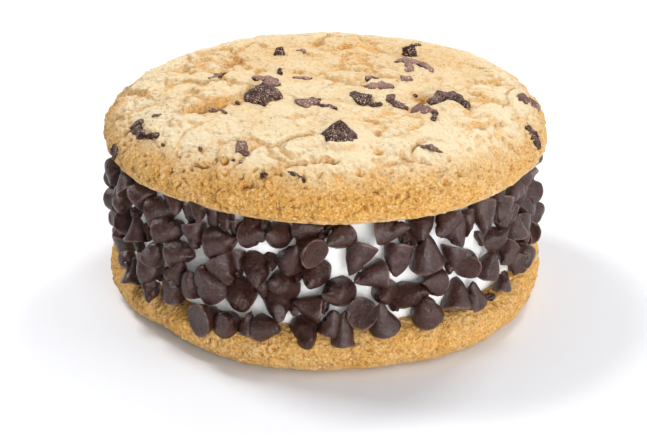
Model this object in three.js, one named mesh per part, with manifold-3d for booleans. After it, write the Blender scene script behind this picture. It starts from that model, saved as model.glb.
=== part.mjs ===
// Ice cream sandwich. Two round chocolate chip cookies hold a thick disc of ice cream, and the
// ice cream's side is rolled in small chocolate chips. The larger chips baked into the top cookie
// are pieces of their own, each in a pocket of the dough.
// Millimetres, +Z up. The axis of the sandwich is Z, and its flat underside lies on z = 0.

import * as THREE from 'three';
import { mergeVertices } from 'three/addons/utils/BufferGeometryUtils.js';
import Module from 'manifold-3d';

const wasm = await Module();
wasm.setup();

// Driving dimensions.
const bottomRadius = 45.4; // widest part of the bottom cookie
const bottomThickness = 9;
const fillingRadius = 40.2;
const fillingThickness = 22.5;
const topRadius = 45; // widest part of the top cookie
const topThickness = 13;
const topEdgeHeight = 3.1; // from the top cookie's underside up to its widest part
const smallChipHeight = 4.8; // how far the small chips stand out of the ice cream
const smallChipsRound = 44; // small chips in one row round the ice cream
const smallChipRows = 4;
const gap = 0.3; // between a piece and the neighbour that is cut round it

const fillingBase = bottomThickness;
const topBase = fillingBase + fillingThickness;
const topMiddle = topBase + topEdgeHeight;

// Swells and hollows of the outlines: degrees round from +X, half width in degrees, mm outwards.
const topSwells = [
  [38, 20, 1.2],
  [85, 22, -0.6],
  [160, 28, 0.6],
  [238, 22, -1.2],
  [300, 15, 0.4],
];
const bottomSwells = [
  [60, 20, 0.4],
  [110, 22, -0.4],
  [155, 18, 0.5],
  [215, 24, -0.9],
  [256, 12, 0.5],
  [306, 12, 1.0],
  [350, 20, -0.8],
];

// How far the bottom cookie's lower edge stands off the table, given in the same way.
const bottomLift = [[222, 14, 2]];
const liftFrom = 33; // the underside is flat out to this radius

// Relief of the top cookie: x, y and radius of each lump or hollow, and its height in mm.
const topRelief = [
  [-27, -9, 6.5, 0.9], // long ridge over the crease at the left
  [-19, -8, 5, 0.7],
  [-24, -15.5, 5.5, -0.7], // crease under it
  [-6, -40, 7, 0.8], // lump in front of the ledge
  [-5, -35.5, 6, -0.6],
  [9.7, -25, 4.5, -0.9], // hollow beside the tall chip
  [19.5, -10.5, 3.6, -1.0], // hollow beside the arched chip
  [-3, -20, 8, -0.4],
  [30, 20, 9, 0.7],
  [4, 27, 7, 0.6],
  [-15, 28, 7, 0.5],
  [-34, 12, 8, 0.5],
  [31, -27, 7, 0.5],
  [-28, 7, 3, -0.7],
  [-18, 10, 3, -0.6],
  [-13, 22.5, 3, -0.6],
  [29, 13, 3.5, -0.6],
  [14, 4, 6, 0.4],
];

// Chips baked into the top cookie. Each is a round drop: its base has the stated radius and lies
// sunk under the dough at x, y; its tip leans by so many degrees from upright towards the heading,
// which is in degrees round from +X. Past 90 degrees the tip points down and the flat base shows.
// A chip in the upright edge states its base's height instead of how deep it is sunk.
const bakedChips = [
  { name: 'baked_chip_a', x: -12.8, y: -9.0, radius: 3.9, height: 5.0, tilt: 66, heading: 92, sink: 1.0 },
  { name: 'baked_chip_b', x: -2.8, y: -14.2, radius: 3.0, height: 4.2, tilt: 158, heading: 100, sink: 0.0 },
  { name: 'baked_chip_c', x: 2.4, y: -28.6, radius: 3.9, height: 4.6, tilt: 12, heading: 95, sink: 1.8 },
  { name: 'baked_chip_d', x: 10.0, y: -9.8, radius: 4.0, height: 4.4, tilt: 170, heading: 90, sink: -0.2 },
  { name: 'baked_chip_e', x: 18.8, y: -18.6, radius: 3.0, height: 4.4, tilt: 155, heading: 80, sink: 0.1 },
  { name: 'baked_chip_f', x: 25.4, y: -12.2, radius: 4.0, height: 4.8, tilt: 64, heading: 88, sink: 2.0 },
  { name: 'baked_chip_h', x: 18.0, y: 16.4, radius: 2.4, height: 4.6, tilt: 18, heading: 120, sink: 1.9 },
  { name: 'baked_chip_i', x: 18.2, y: 7.2, radius: 3.7, height: 4.4, tilt: 168, heading: 95, sink: 0.0 },
  { name: 'baked_chip_j', x: 15.8, y: -0.6, radius: 2.2, height: 3.8, tilt: 160, heading: 20, sink: 0.2 },
  { name: 'baked_chip_k', x: 9.4, y: -0.6, radius: 2.2, height: 3.8, tilt: 160, heading: 170, sink: 0.2 },
  { name: 'baked_chip_l', x: 40.6, y: -1.8, radius: 3.3, height: 4.6, tilt: 142, heading: 180, sink: 0.1 },
  { name: 'baked_chip_m', x: 40.6, y: -15.2, radius: 3.2, height: 4.6, tilt: 134, heading: 160, sink: 0.1 },
  { name: 'baked_chip_n', x: 19.8, y: -32.6, radius: 3.0, height: 4.4, tilt: 84, heading: 82, sink: 2.7 },
  { name: 'baked_chip_o', x: -34.8, y: -17.0, radius: 3.2, height: 4.6, tilt: 150, heading: 28, sink: 0.0 },
  { name: 'baked_chip_p', x: -21.8, y: 1.2, radius: 2.4, height: 4.0, tilt: 162, heading: 60, sink: 0.1 },
  { name: 'baked_chip_q', x: -20.8, y: -17.6, radius: 2.9, height: 4.2, tilt: 80, heading: 95, sink: 2.6 },
  { name: 'baked_chip_r', x: -15.8, y: -31.8, radius: 2.0, height: 4.0, tilt: 150, heading: 80, sink: 0.1 },
  { name: 'baked_chip_s', x: -9.8, y: 14.0, radius: 2.4, height: 4.2, tilt: 30, heading: 120, sink: 2.4 },
  { name: 'baked_chip_t', x: -5.0, y: 15.2, radius: 2.6, height: 4.0, tilt: 82, heading: 96, sink: 2.4 },
  { name: 'baked_chip_u', x: -4.8, y: -1.4, radius: 2.8, height: 4.0, tilt: 78, heading: 88, sink: 2.5 },
  { name: 'baked_chip_v', x: -8.2, y: -39.6, radius: 3.2, height: 4.4, tilt: 62, heading: 84, sink: 2.8 },
  { name: 'baked_chip_w', x: -41.6, y: -16.4, z: 34.9, radius: 2.5, height: 4.0, tilt: 96, heading: 22 },
  { name: 'baked_chip_x', x: 22.6, y: 39.2, z: 35.4, radius: 2.8, height: 4.4, tilt: 98, heading: 240 },
  { name: 'baked_chip_y', x: -15.4, y: 41.4, z: 35.2, radius: 2.9, height: 4.4, tilt: 96, heading: 290 },
  { name: 'baked_chip_z', x: -38.6, y: 21.8, z: 35.4, radius: 2.6, height: 4.2, tilt: 98, heading: 331 },
];

// Mesh resolution.
const cookieSectors = 48;
const fillingSectors = 44;
const chipSectors = 8;

// A repeatable value between 0 and 1 for a whole number.
function spread(number) {
  const wave = Math.sin(number * 12.9898 + 4.1) * 43758.5453;
  return wave - Math.floor(wave);
}

// Sum of the outline's swells at an angle in degrees.
function swell(swells, angle) {
  let sum = 0;
  for (const [at, width, rise] of swells) {
    const away = ((((angle - at) % 360) + 540) % 360 - 180) / width;
    sum += rise * Math.exp(-away * away);
  }
  return sum;
}

// Height of the lumps and hollows at a point of the top.
function relief(x, y) {
  let sum = 0.18 * Math.sin(x / 3.1 + 0.7) * Math.cos(y / 2.7 - 0.4);
  for (const [lumpX, lumpY, radius, rise] of topRelief) {
    const away = Math.hypot(x - lumpX, y - lumpY) / radius;
    sum += rise * Math.exp(-away * away);
  }
  return sum;
}

// Height of the top cookie's surface: a flat dome with a round shoulder, and the relief on it.
function topSurface(x, y) {
  const angle = THREE.MathUtils.radToDeg(Math.atan2(y, x));
  const share = Math.min(Math.hypot(x, y) / (topRadius + swell(topSwells, angle)), 1);
  const rise = topThickness - topEdgeHeight;
  const dome = rise * (1 - share ** 4.7) ** (1 / 1.5);
  return topMiddle + dome + relief(x, y) * Math.min(1, 3 * (1 - share));
}

// Closed solid with a ring of points for each radius and height of the profile. The profile starts
// on the axis below and ends on it above. The function place turns each ring's point into x, y, z.
function ringedSolid(profile, sectors, place) {
  const points = [place(0, profile[0][1], 0)];
  const rings = profile.slice(1, -1);
  for (const [radius, height] of rings) {
    for (let sector = 0; sector < sectors; sector += 1) {
      points.push(place(radius, height, (360 * sector) / sectors));
    }
  }
  points.push(place(0, profile[profile.length - 1][1], 0));
  const last = points.length - 1;
  const faces = [];
  for (let sector = 0; sector < sectors; sector += 1) {
    const next = (sector + 1) % sectors;
    faces.push(0, 1 + next, 1 + sector);
    for (let ring = 1; ring < rings.length; ring += 1) {
      const below = 1 + (ring - 1) * sectors;
      const above = below + sectors;
      faces.push(below + sector, below + next, above + next);
      faces.push(below + sector, above + next, above + sector);
    }
    const top = 1 + (rings.length - 1) * sectors;
    faces.push(top + sector, top + next, last);
  }
  return indexedGeometry(points.flat(), faces);
}

function indexedGeometry(positions, faces) {
  const geometry = new THREE.BufferGeometry();
  geometry.setAttribute('position', new THREE.Float32BufferAttribute(positions, 3));
  geometry.setIndex(faces);
  geometry.computeVertexNormals();
  return geometry;
}

// Point at a radius and an angle in degrees round the axis.
function around(radius, height, angle) {
  const turn = THREE.MathUtils.degToRad(angle);
  return [radius * Math.cos(turn), radius * Math.sin(turn), height];
}

function toManifold(geometry) {
  const bare = geometry.clone();
  bare.deleteAttribute('normal');
  bare.deleteAttribute('uv');
  const merged = mergeVertices(bare, 1e-4);
  const vertProperties = new Float32Array(merged.attributes.position.array);
  const triVerts = new Uint32Array(merged.index.array);
  return new wasm.Manifold(new wasm.Mesh({ numProp: 3, vertProperties, triVerts }));
}

function fromManifold(solid) {
  const mesh = solid.getMesh();
  return indexedGeometry([...mesh.vertProperties], [...mesh.triVerts]);
}

// Bottom cookie: flat below, round at the edge, and pressed flat under the ice cream. Its edge
// lifts a little off the table at the front left.
function bottomCookie() {
  const edge = 4; // the round edge starts this far inside the widest part
  const profile = [[0, 0], [liftFrom, 0], [bottomRadius - edge, 0]];
  for (const share of [0.1, 0.3, 0.55, 0.8, 0.93]) {
    const bow = (1 - Math.abs(2 * share - 1) ** 2) ** (1 / 1.6);
    profile.push([bottomRadius - edge + edge * bow, share * bottomThickness]);
  }
  profile.push([bottomRadius - edge, bottomThickness], [0.5 * bottomRadius, bottomThickness]);
  profile.push([0, bottomThickness]);
  return ringedSolid(profile, cookieSectors, (radius, height, angle) => {
    const rim = THREE.MathUtils.smoothstep(radius, bottomRadius - edge, bottomRadius);
    const ripple = 0.2 * Math.sin(THREE.MathUtils.degToRad(11 * angle)) * rim;
    const lifted = THREE.MathUtils.smoothstep(radius, liftFrom, bottomRadius) * (1 - height / bottomThickness);
    const lift = swell(bottomLift, angle) * lifted;
    return around(radius + rim * swell(bottomSwells, angle) + ripple, height + lift, angle);
  });
}

// Top cookie: flat below, with a thin lip, an upright edge and a low dome with lumps.
function topCookieBlank() {
  const lip = 1.4; // how far the widest part stands out past the underside
  const flatRadius = topRadius - lip;
  const profile = [[0, topBase], [0.5 * topRadius, topBase], [flatRadius, topBase]];
  for (const share of [0.2, 0.6]) {
    const bow = Math.sqrt(1 - (1 - share) ** 2);
    profile.push([flatRadius + lip * bow, topBase + share * topEdgeHeight]);
  }
  const domeSteps = 12;
  for (let step = 0; step < domeSteps; step += 1) {
    const share = Math.cos((step / domeSteps) * (Math.PI / 2)) ** (2 / 4.7);
    profile.push([topRadius * share, topMiddle]);
  }
  profile.push([0.22 * topRadius, topMiddle], [0, topMiddle]);
  return ringedSolid(profile, cookieSectors, (radius, height, angle) => {
    const rim = Math.min(radius / flatRadius, 1);
    const [x, y] = around(radius * (1 + (rim * swell(topSwells, angle)) / topRadius), 0, angle);
    const onTop = height >= topMiddle;
    return [x, y, onTop ? topSurface(x, y) : height];
  });
}

// Drop-shaped chip standing on its base at the origin. Growing it makes the pocket round it.
function chipGeometry(radius, height, grow) {
  const wide = radius + grow;
  const low = -grow;
  const tall = height + 2 * grow;
  const profile = [
    [0, low],
    [0.88 * wide, low],
    [wide, low + 0.16 * (tall - low)],
    [0.8 * wide, low + 0.5 * (tall - low)],
    [0.3 * wide, low + 0.88 * (tall - low)],
    [0, tall],
  ];
  return ringedSolid(profile, chipSectors, around);
}

// Mesh of one baked chip, turned so that its tip points along its tilt and heading.
function bakedChip(chip, grow, material) {
  const mesh = new THREE.Mesh(chipGeometry(chip.radius, chip.height, grow), material);
  mesh.position.set(chip.x, chip.y, chip.z ?? topSurface(chip.x, chip.y) - chip.sink);
  const tilt = THREE.MathUtils.degToRad(chip.tilt);
  const flat = around(Math.sin(tilt), Math.cos(tilt), chip.heading);
  mesh.quaternion.setFromUnitVectors(new THREE.Vector3(0, 0, 1), new THREE.Vector3(...flat));
  mesh.updateMatrix();
  return mesh;
}

// The top cookie with a pocket for every baked chip.
function topCookie() {
  let dough = toManifold(topCookieBlank());
  for (const chip of bakedChips) {
    const pocket = bakedChip(chip, gap, null);
    dough = dough.subtract(toManifold(pocket.geometry.applyMatrix4(pocket.matrix)));
  }
  return fromManifold(dough);
}

// Coat of small chips: a ring round the ice cream with one peak for every chip. Rows of chips are
// staggered, and the peaks differ in height.
function chipCoat() {
  const inner = fillingRadius + gap;
  const low = fillingBase + gap;
  const high = topBase - gap;
  const columns = 3 * smallChipsRound;
  const levels = 2 * smallChipRows;
  const positions = [];
  for (let level = 0; level <= levels; level += 1) {
    const height = low + ((high - low) * level) / levels;
    const row = (level - 1) / 2;
    for (let column = 0; column < columns; column += 1) {
      const peak = Number.isInteger(row) && (column + row) % 3 === 0;
      const seed = level * columns + column;
      const stand = peak ? 0.85 + 0.25 * spread(seed) : 0.4 + 0.25 * spread(seed);
      positions.push(...around(fillingRadius + smallChipHeight * stand, height, (360 * column) / columns));
    }
  }
  for (const height of [high, low]) {
    for (let column = 0; column < columns; column += 1) {
      positions.push(...around(inner, height, (360 * column) / columns));
    }
  }
  const faces = [];
  const loops = levels + 3;
  for (let loop = 0; loop < loops; loop += 1) {
    const below = loop * columns;
    const above = ((loop + 1) % loops) * columns;
    for (let column = 0; column < columns; column += 1) {
      const next = (column + 1) % columns;
      faces.push(below + column, below + next, above + next);
      faces.push(below + column, above + next, above + column);
    }
  }
  return indexedGeometry(positions, faces);
}

// Disc of ice cream between the cookies, with a slight waist.
function filling() {
  const waist = 0.3;
  const profile = [[0, fillingBase], [0.5 * fillingRadius, fillingBase], [fillingRadius, fillingBase]];
  profile.push([fillingRadius - waist, fillingBase + fillingThickness / 2]);
  profile.push([fillingRadius, topBase], [0.5 * fillingRadius, topBase], [0, topBase]);
  return ringedSolid(profile, fillingSectors, around);
}

function finish(color, roughness) {
  return new THREE.MeshStandardMaterial({ color, roughness, metalness: 0 });
}

function named(name, geometry, material) {
  const mesh = new THREE.Mesh(geometry, material);
  mesh.name = name;
  return mesh;
}

const sandwich = new THREE.Group();
sandwich.name = 'ice_cream_sandwich';
sandwich.add(named('cookie_bottom', bottomCookie(), finish(0xd9a95c, 0.85)));
sandwich.add(named('ice_cream', filling(), finish(0xf3f2f0, 0.5)));
sandwich.add(named('small_chips', chipCoat(), finish(0x3e2a27, 0.45)));
sandwich.add(named('cookie_top', topCookie(), finish(0xe6c388, 0.85)));
for (const chip of bakedChips) {
  const mesh = bakedChip(chip, 0, finish(0x402a26, 0.4));
  mesh.name = chip.name;
  sandwich.add(mesh);
}

export default sandwich;
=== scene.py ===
import math
import random

import bpy
import numpy as np
from mathutils import Matrix, Vector, noise
from mathutils.bvhtree import BVHTree


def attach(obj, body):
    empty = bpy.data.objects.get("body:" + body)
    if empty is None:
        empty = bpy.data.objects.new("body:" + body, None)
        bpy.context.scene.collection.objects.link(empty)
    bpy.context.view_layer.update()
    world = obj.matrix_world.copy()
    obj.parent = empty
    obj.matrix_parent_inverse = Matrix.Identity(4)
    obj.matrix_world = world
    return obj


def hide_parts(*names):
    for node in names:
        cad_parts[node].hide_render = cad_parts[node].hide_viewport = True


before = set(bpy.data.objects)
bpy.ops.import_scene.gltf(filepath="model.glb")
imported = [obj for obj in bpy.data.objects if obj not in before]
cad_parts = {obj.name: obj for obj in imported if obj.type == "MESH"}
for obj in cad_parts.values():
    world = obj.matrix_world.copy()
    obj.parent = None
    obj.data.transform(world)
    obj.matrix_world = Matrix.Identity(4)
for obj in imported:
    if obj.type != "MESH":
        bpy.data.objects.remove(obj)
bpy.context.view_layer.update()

mm = 0.001  # sizes below are in millimetres and become metres when a mesh is made
fineness = 1.0  # coarser meshes while trying things

camera = dict(
    distance=400.0,
    elevation=24.25,  # degrees above the table
    lookAt=(-0.54, 0.0, 12.82),
    focalPixels=1906.6,
    imageWide=647,
    imageHigh=440,
    sensor=36.0,
)

tilt = math.radians(camera["elevation"])
right = np.array([1.0, 0.0, 0.0])
back = np.array([0.0, -math.cos(tilt), math.sin(tilt)])  # from the object to the camera
upward = np.array([0.0, math.sin(tilt), math.cos(tilt)])
eye = np.array(camera["lookAt"]) + camera["distance"] * back


def sightLine(across, down):
    # direction from the eye through a point of the view, in pixels from its top left
    ray = -back + right * (across - camera["imageWide"] / 2) / camera["focalPixels"]
    ray = ray - upward * (down - camera["imageHigh"] / 2) / camera["focalPixels"]
    return ray / np.linalg.norm(ray)


def onBarrel(across, down, radius):
    # where the sight line first meets an upright cylinder round the axis
    ray = sightLine(across, down)
    a = ray[0] ** 2 + ray[1] ** 2
    b = eye[0] * ray[0] + eye[1] * ray[1]
    c = eye[0] ** 2 + eye[1] ** 2 - radius ** 2
    root = b * b - a * c
    if root < 0:  # it passes beside the cylinder
        spot = eye - ray * b / a
        reach = math.hypot(spot[0], spot[1])
        return np.array([spot[0] * radius / reach, spot[1] * radius / reach, spot[2]])
    return eye + ray * ((-b - math.sqrt(root)) / a)


def makeCamera():
    data = bpy.data.cameras.new("camera")
    data.sensor_width = camera["sensor"]
    data.lens = camera["focalPixels"] / camera["imageWide"] * camera["sensor"]
    data.clip_start, data.clip_end = 0.01, 20.0  # metres
    item = bpy.data.objects.new("camera", data)
    item.location = Vector(eye * mm)
    item.rotation_mode = "QUATERNION"
    item.rotation_quaternion = Vector(-back).to_track_quat("-Z", "Y")
    bpy.context.scene.collection.objects.link(item)
    bpy.context.scene.camera = item


makeCamera()
print("camera placed")


def smoothStep(value, low, high):
    share = np.clip((value - low) / (high - low), 0.0, 1.0)
    return share * share * (3 - 2 * share)


def wobble(points, size, shift=0.0):
    # smooth noise of about -0.5 to 0.5 whose features are so many millimetres wide
    where = (np.asarray(points) / size + shift).tolist()
    return np.array([noise.noise(p, noise_basis="PERLIN_ORIGINAL") for p in where])


def cells(points, size, shift=0.0):
    # for each point, how many mm it is from its cell's border, and the cell's own value from 0 to 1
    where = (np.asarray(points) / size + shift).tolist()
    border = np.empty(len(where))
    value = np.empty(len(where))
    for i, p in enumerate(where):
        distances, centres = noise.voronoi(p)
        border[i] = (distances[1] - distances[0]) * size / 2
        c = centres[0]
        value[i] = abs(math.sin(c[0] * 12.99 + c[1] * 78.23 + c[2] * 37.72)) * 437.5 % 1.0
    return border, value


def drift(points, size, shift, apart=7.3):
    # the same kind of noise in three directions
    return np.stack([wobble(points, size, shift + k * apart) for k in range(3)], axis=1)


def shaken(points, size, amount, shift=0.0):
    # the points moved about, so that lines through them turn ragged
    return points + amount * drift(points, size, shift)


def makePiece(name, points, faces, material, attributes):
    mesh = bpy.data.meshes.new(name)
    mesh.from_pydata((np.asarray(points) * mm).tolist(), [], faces)
    for label, values in attributes.items():
        layer = mesh.attributes.new(label, "FLOAT", "POINT")
        layer.data.foreach_set("value", np.asarray(values, dtype=np.float32))
    mesh.shade_smooth()
    mesh.materials.append(material)
    item = bpy.data.objects.new(name, mesh)
    bpy.context.scene.collection.objects.link(item)
    return item


def stitch(counts, starts):
    # triangles between neighbouring closed rings, which may hold different numbers of points
    faces = []
    for ring in range(len(counts) - 1):
        n, m = counts[ring], counts[ring + 1]
        upper, lower = starts[ring], starts[ring + 1]
        if n == 1:
            faces += [(upper, lower + j, lower + (j + 1) % m) for j in range(m)]
        elif m == 1:
            faces += [(upper + i, lower, upper + (i + 1) % n) for i in range(n)]
        else:
            upperOffset, lowerOffset = 0.5 * (ring % 2) / n, 0.5 * ((ring + 1) % 2) / m
            i = j = 0
            while i < n or j < m:
                if j >= m or (i < n and (i + 1) / n + upperOffset <= (j + 1) / m + lowerOffset):
                    faces.append((upper + i % n, lower + j % m, upper + (i + 1) % n))
                    i += 1
                else:
                    faces.append((upper + i % n, lower + j % m, lower + (j + 1) % m))
                    j += 1
    return faces


def tubeFaces(rings, sectors):
    # faces of a closed tube whose rings all hold as many points, with one point more at each end
    pairs = [(k, (k + 1) % sectors) for k in range(sectors)]
    faces = [(0, 1 + n, 1 + k) for k, n in pairs]
    for a in range(1, 1 + (rings - 1) * sectors, sectors):
        b = a + sectors
        faces += [(a + k, a + n, b + n, b + k) for k, n in pairs]
    a = 1 + (rings - 1) * sectors
    return faces + [(a + k, a + n, a + sectors) for k, n in pairs]


def ringGrid(profile, spacing):
    # Points and triangles of a turned shape. The profile is radius and height, from the axis above
    # to the axis below, and spacing(radius, height) is the mesh size wanted there. Each point comes
    # as radius, height, angle, and the outward and upward parts of its normal.
    profile = np.asarray(profile, dtype=float)
    lengths = np.linalg.norm(np.diff(profile, axis=0), axis=1)
    along = np.concatenate([[0], np.cumsum(lengths)])
    stops = [0.0]
    while stops[-1] < along[-1]:
        here = [np.interp(stops[-1], along, profile[:, k]) for k in (0, 1)]
        stops.append(stops[-1] + spacing(*here) * fineness)
    stops = np.array(stops) * along[-1] / stops[-1]
    radius = np.interp(stops, along, profile[:, 0])
    height = np.interp(stops, along, profile[:, 1])
    runOut, runUp = np.gradient(radius, stops), np.gradient(height, stops)
    counts, starts, parts = [], [], []
    total = 0
    for k in range(len(stops)):
        size = spacing(radius[k], height[k]) * fineness
        count = 1 if k in (0, len(stops) - 1) else max(8, int(2 * math.pi * radius[k] / size))
        turn = (np.arange(count) + 0.5 * (k % 2)) / count * 2 * math.pi
        length = math.hypot(runOut[k], runUp[k])
        flat = 0.0 if count == 1 else 1.0
        parts.append(np.stack([
            np.full(count, flat * radius[k]),
            np.full(count, height[k]),
            turn,
            np.full(count, -flat * runUp[k] / length),
            np.full(count, runOut[k] / length),
        ], axis=1))
        counts.append(count)
        starts.append(total)
        total += count
    return np.concatenate(parts), stitch(counts, starts)


class Wire:
    # an output socket on which sums are written
    def __init__(self, paint, socket):
        self.paint, self.socket = paint, socket

    def math(self, operation, first, second, clamp=False):
        settings = {"operation": operation, "use_clamp": clamp}
        return self.paint.node("ShaderNodeMath", settings, {0: first, 1: second})

    def __add__(self, other):
        return self.math("ADD", self, other)

    def __sub__(self, other):
        return self.math("SUBTRACT", self, other)

    def __rsub__(self, other):
        return self.math("SUBTRACT", other, self)

    def __mul__(self, other):
        return self.math("MULTIPLY", self, other)

    def clamped(self):
        return self.math("ADD", self, 0.0, clamp=True)

    __radd__ = __add__
    __rmul__ = __mul__


class Paint:
    # the nodes of a material, or of a world
    def __init__(self, name, store=bpy.data.materials, coordinates="Object"):
        self.owner = store.new(name)
        self.owner.use_nodes = True
        self.tree = self.owner.node_tree
        self.tree.nodes.clear()
        self.place = self.node("ShaderNodeTexCoord", {}, {}, coordinates)

    def node(self, kind, settings, sockets, output=0):
        made = self.tree.nodes.new(kind)
        for key, value in settings.items():
            setattr(made, key, value)
        for key, value in sockets.items():
            if isinstance(value, Wire):
                self.tree.links.new(value.socket, made.inputs[key])
            elif made.inputs[key].type == "RGBA":
                made.inputs[key].default_value = (*value[:3], 1.0)
            else:
                made.inputs[key].default_value = value
        return Wire(self, made.outputs[output]) if made.outputs else made

    def attribute(self, name):
        return self.node("ShaderNodeAttribute", {"attribute_name": name}, {}, "Fac")

    def noise(self, size, detail=3.0, rough=0.55):
        # fractal noise whose features are so many millimetres wide
        sockets = {"Vector": self.place, "Scale": 1 / (size * mm), "Detail": detail, "Roughness": rough}
        return self.node("ShaderNodeTexNoise", {}, sockets, "Fac")

    def spots(self, size):
        # distance from the nearest of many scattered points, as a share of their spacing
        sockets = {"Vector": self.place, "Scale": 1 / (size * mm)}
        return self.node("ShaderNodeTexVoronoi", {}, sockets, "Distance")

    def splits(self, size, raggedness):
        # distance from a ragged network of lines, as a share of their spacing
        sockets = {"Vector": self.place, "Scale": 1 / (raggedness * mm)}
        shake = self.node("ShaderNodeTexNoise", {}, sockets, "Color")
        sockets = {0: shake, "Scale": raggedness * 1.2 * mm}
        shake = self.node("ShaderNodeVectorMath", {"operation": "SCALE"}, sockets)
        moved = self.node("ShaderNodeVectorMath", {"operation": "ADD"}, {0: self.place, 1: shake})
        sockets = {"Vector": moved, "Scale": 1 / (size * mm)}
        return self.node("ShaderNodeTexVoronoi", {"feature": "DISTANCE_TO_EDGE"}, sockets, "Distance")

    def steps(self, value, low, high):
        # 0 up to low and 1 from high on, or the other way round where high is the smaller
        settings = {"interpolation_type": "SMOOTHSTEP"}
        sockets = {"Value": value, "From Min": low, "From Max": high}
        return self.node("ShaderNodeMapRange", settings, sockets)

    def mix(self, share, first, second):
        sockets = {0: share, 6: first, 7: second}
        return self.node("ShaderNodeMix", {"data_type": "RGBA"}, sockets, 2)

    def bump(self, height, depth, under=None):
        # height from 0 to 1 stands for so many millimetres
        sockets = {"Height": height, "Distance": depth * mm, "Strength": 1.0}
        if under:
            sockets["Normal"] = under
        return self.node("ShaderNodeBump", {}, sockets)

    def finish(self, sockets):
        shader = self.node("ShaderNodeBsdfPrincipled", {}, sockets)
        self.node("ShaderNodeOutputMaterial", {}, {"Surface": shader})
        return self.owner


def seen(red, green, blue):
    # a colour as a screen shows it, 0 to 255, in the linear values that Blender takes
    return tuple(((c / 255 + 0.055) / 1.055) ** 2.4 for c in (red, green, blue))


dough = dict(
    pale=seen(227, 209, 174),
    golden=seen(209, 158, 80),
    # golden for creases and the gaps between crumbs: partly their deeper browning, partly painted shade
    creviceTintAndShade=seen(213, 155, 76),
    # dark brown for painted shade in pits, pores, fine cracks and the grain's lows
    poreShade=seen(150, 96, 44),
    # pale grains, partly painted light on grain tops
    paleGrainAndLight=seen(248, 222, 172),
    roughness=0.82,
    gloss=0.15,
    patchSize=6.0,
    sandSize=0.52,
    sandDepth=0.5,
    crumbSize=0.85,
    crumbDepth=0.28,
    splitSize=3.4,
    poreSize=1.9,
)


def doughMaterial():
    paint = Paint("baked dough")
    # browning, with painted shade on slopes and painted light on the sides mixed in
    browningAndShade = paint.attribute("browningAndShade")
    hollowTintAndShade = paint.attribute("hollowTintAndShade")
    patches = paint.noise(dough["patchSize"], 3.0)
    sand = paint.noise(dough["sandSize"], 3.0, 0.7)
    crumbs = paint.spots(dough["crumbSize"])
    share = (browningAndShade + (patches - 0.45) * 0.9 + (sand - 0.5) * 0.6).clamped()
    colour = paint.mix(share, dough["pale"], dough["golden"])
    # creases, fold faces, pits and valleys are painted golden, then dark brown where deepest: partly
    # browning, partly painted shade
    colour = paint.mix(paint.steps(hollowTintAndShade, 0.0, 0.8) * 0.8, colour, dough["creviceTintAndShade"])
    colour = paint.mix(paint.steps(hollowTintAndShade, 0.72, 1.0) * 0.75, colour, dough["poreShade"])
    # paler where the sand noise is high, where its bump stands up: partly pale grains, partly painted
    # light on their tops
    light = paint.steps(sand, 0.52, 0.66) * (0.34 + 0.32 * browningAndShade)
    colour = paint.mix(light, colour, dough["paleGrainAndLight"])
    # painted shade in the gaps between crumbs, where the grain bump is low
    between = paint.steps(crumbs, 0.48, 0.75) * (0.1 + 0.36 * browningAndShade)
    colour = paint.mix(between, colour, dough["creviceTintAndShade"])
    # darker where the sand noise is low, where its bump is low too: partly dark grains, partly painted
    # shade
    dark = paint.steps(sand, 0.47, 0.35) * (0.14 + 0.64 * browningAndShade)
    colour = paint.mix(dark, colour, dough["poreShade"])
    # a fine network of cracks that cuts the bump and is painted dark brown as painted shade in it
    split = paint.steps(paint.splits(dough["splitSize"], 1.2), 0.04, 0.01)
    split = split * paint.steps(paint.noise(4.0, 2.0), 0.58, 0.66) * browningAndShade
    colour = paint.mix(split * 0.7, colour, dough["poreShade"])
    # painted shade of small pores: dark dots where the mesh holds no holes
    poreShadeDots = paint.steps(paint.spots(dough["poreSize"]), 0.15, 0.08)
    poreShadeDots = poreShadeDots * paint.steps(patches, 0.42, 0.55) * 0.7
    colour = paint.mix(poreShadeDots, colour, dough["poreShade"])
    grain = paint.bump((1 - crumbs) - split * 0.6, dough["crumbDepth"])
    grain = paint.bump(sand, dough["sandDepth"], grain)
    return paint.finish({
        "Base Color": colour,
        "Roughness": dough["roughness"],
        "Specular IOR Level": dough["gloss"],
        "Normal": grain,
    })


chocolate = dict(
    body=seen(52, 28, 23),
    bloom=seen(80, 51, 44),
    dust=seen(124, 94, 84),
    deep=seen(34, 18, 15),
    milky=seen(150, 112, 102),
    crumb=seen(224, 200, 178),
    wetRoughness=0.14,
    cloudSize=2.4,
    dustSize=0.42,
    dustDepth=0.12,
    dullSize=1.3,
    crumbSize=0.3,
    wetSize=1.7,
    waveSize=1.3,
    waveDepth=0.2,
)


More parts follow.
